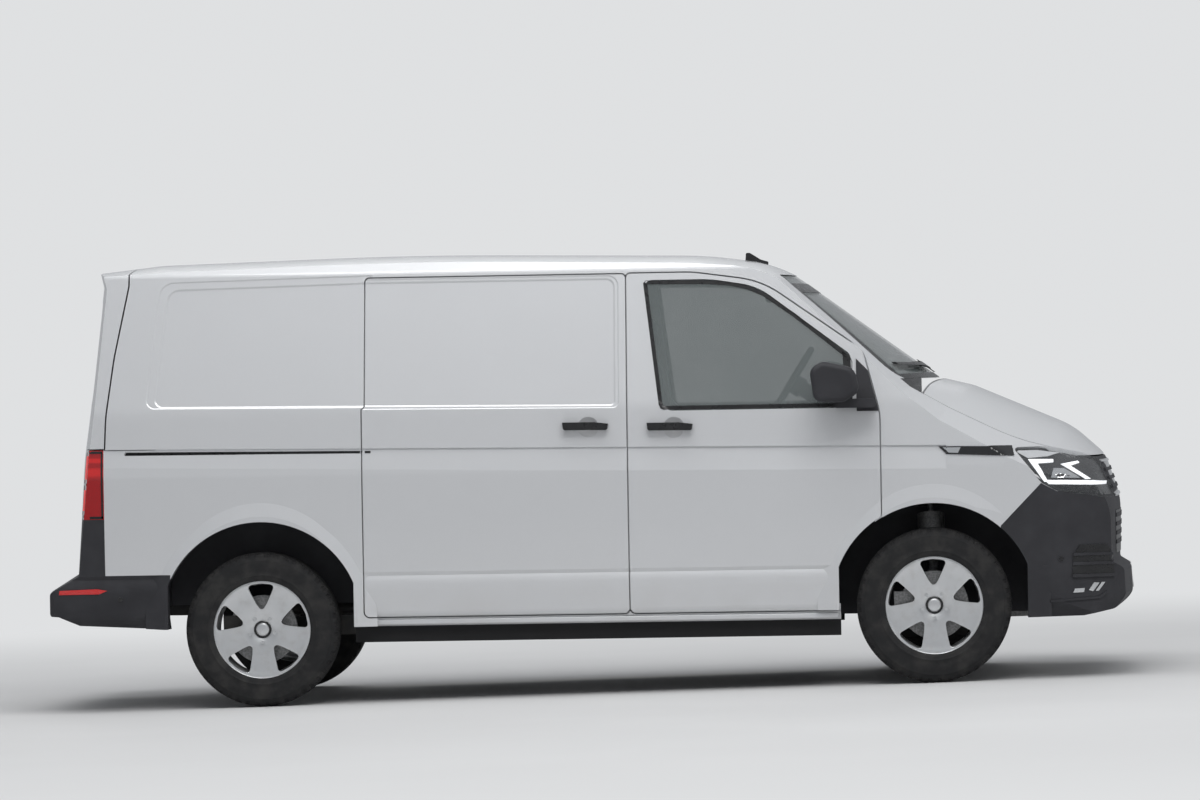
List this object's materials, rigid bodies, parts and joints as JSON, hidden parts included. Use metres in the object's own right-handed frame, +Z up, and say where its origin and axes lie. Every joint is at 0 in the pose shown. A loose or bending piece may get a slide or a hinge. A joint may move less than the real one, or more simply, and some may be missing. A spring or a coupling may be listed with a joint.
{
  "type": "panel van",
  "caption": "Short mid-size panel van with hinged cab doors, lift-up tailgate, fixed sliding side door, opening bonnet, steered front wheels and an empty load space",
  "frame": {"origin": "on the ground under the middle of the van's overall box", "axes": "+X forward, +Y to the driver's side (left), +Z up"},
  "size_m": [4.9056, 2.296, 2.0006],
  "materials": {
    "paint": "gloss",
    "structure": "satin",
    "trim": "matte",
    "interior": "matte",
    "seat": "matte",
    "glass": "gloss",
    "headlamp": "gloss",
    "tail_lamp": "gloss",
    "tyre": "matte",
    "alloy": "satin",
    "chassis": "satin",
    "cast": "matte",
    "tank": "satin"
  },
  "bodies": {
    "body": {"roof": "paint", "side_left": "paint", "side_right": "paint", "sliding_door": "paint", "sliding_handle": "trim", "floor": "structure", "cowl": "trim", "firewall": "structure", "windscreen": "glass", "fender_left": "paint", "fender_right": "paint", "front_bumper": "trim", "grille": "trim", "headlamps": "headlamp", "rear_bumper": "trim", "tail_lamps": "tail_lamp", "partition": "structure", "dashboard": "interior", "driver_seat": "seat", "passenger_bench": "seat", "engine": "cast", "front_subframe": "chassis", "front_frame": "structure", "rear_axle": "chassis", "fuel_tank": "tank", "exhaust": "chassis", "spare_wheel": "tyre", "arch_liners": "trim", "wipers": "trim", "roof_aerial": "trim"},
    "front_door_left": {"door_left": "paint", "window_left": "glass", "mirror_left": "trim", "handle_left": "trim"},
    "front_door_right": {"door_right": "paint", "window_right": "glass", "mirror_right": "trim", "handle_right": "trim"},
    "tailgate_lid": {"tailgate": "paint", "rear_window": "glass"},
    "bonnet_lid": {"bonnet": "paint"},
    "steering": {"steering_wheel": "interior"},
    "knuckle_l": {"knuckle_left": "chassis"},
    "knuckle_r": {"knuckle_right": "chassis"},
    "wheel_front_left": {"rim_front_left": "alloy", "tyre_front_left": "tyre"},
    "wheel_front_right": {"rim_front_right": "alloy", "tyre_front_right": "tyre"},
    "wheel_rear_left": {"rim_rear_left": "alloy", "tyre_rear_left": "tyre"},
    "wheel_rear_right": {"rim_rear_right": "alloy", "tyre_rear_right": "tyre"}
  },
  "joints": [
    {"name": "door_left_hinge", "type": "hinge", "parent": "body", "child": "front_door_left", "pos_m": [1.33665, 0.955, 0.97222], "axis": [-0.0209, 0, -0.9998], "range_deg": [0, 68]},
    {"name": "door_right_hinge", "type": "hinge", "parent": "body", "child": "front_door_right", "pos_m": [1.33665, -0.955, 0.97222], "axis": [0.0209, 0, 0.9998], "range_deg": [0, 68]},
    {"name": "tailgate_hinge", "type": "hinge", "parent": "body", "child": "tailgate_lid", "pos_m": [-1.95847, 0, 2.00346], "axis": [0, 1, 0], "range_deg": [0, 85]},
    {"name": "bonnet_hinge", "type": "hinge", "parent": "body", "child": "bonnet_lid", "pos_m": [1.51784, 0, 1.3135], "axis": [0, -1, 0], "range_deg": [0, 50]},
    {"name": "steer_left", "type": "hinge", "parent": "body", "child": "knuckle_l", "pos_m": [1.544, 0.73, 0.205], "axis": [0, -0.225, 0.9744], "range_deg": [-35, 35]},
    {"name": "steer_right", "type": "hinge", "parent": "body", "child": "knuckle_r", "pos_m": [1.544, -0.73, 0.205], "axis": [0, 0.225, 0.9744], "range_deg": [-35, 35]},
    {"name": "steering", "type": "hinge", "parent": "body", "child": "steering", "pos_m": [0.92458, 0.42, 1.35493], "axis": [-0.8368, 0, 0.5476], "range_deg": [-525, 525]},
    {"name": "wheel_front_left_spin", "type": "hinge", "parent": "knuckle_l", "child": "wheel_front_left", "pos_m": [1.544, 0.814, 0.345], "axis": [0, 1, 0], "continuous": true},
    {"name": "wheel_front_right_spin", "type": "hinge", "parent": "knuckle_r", "child": "wheel_front_right", "pos_m": [1.544, -0.814, 0.345], "axis": [0, 1, 0], "continuous": true},
    {"name": "wheel_rear_left_spin", "type": "hinge", "parent": "body", "child": "wheel_rear_left", "pos_m": [-1.456, 0.814, 0.345], "axis": [0, 1, 0], "continuous": true},
    {"name": "wheel_rear_right_spin", "type": "hinge", "parent": "body", "child": "wheel_rear_right", "pos_m": [-1.456, -0.814, 0.345], "axis": [0, 1, 0], "continuous": true}
  ],
  "couplings": [
    {"joint": "steer_right", "follows": "steer_left", "ratio": 1},
    {"joint": "steering", "follows": "steer_left", "ratio": 15}
  ]
}
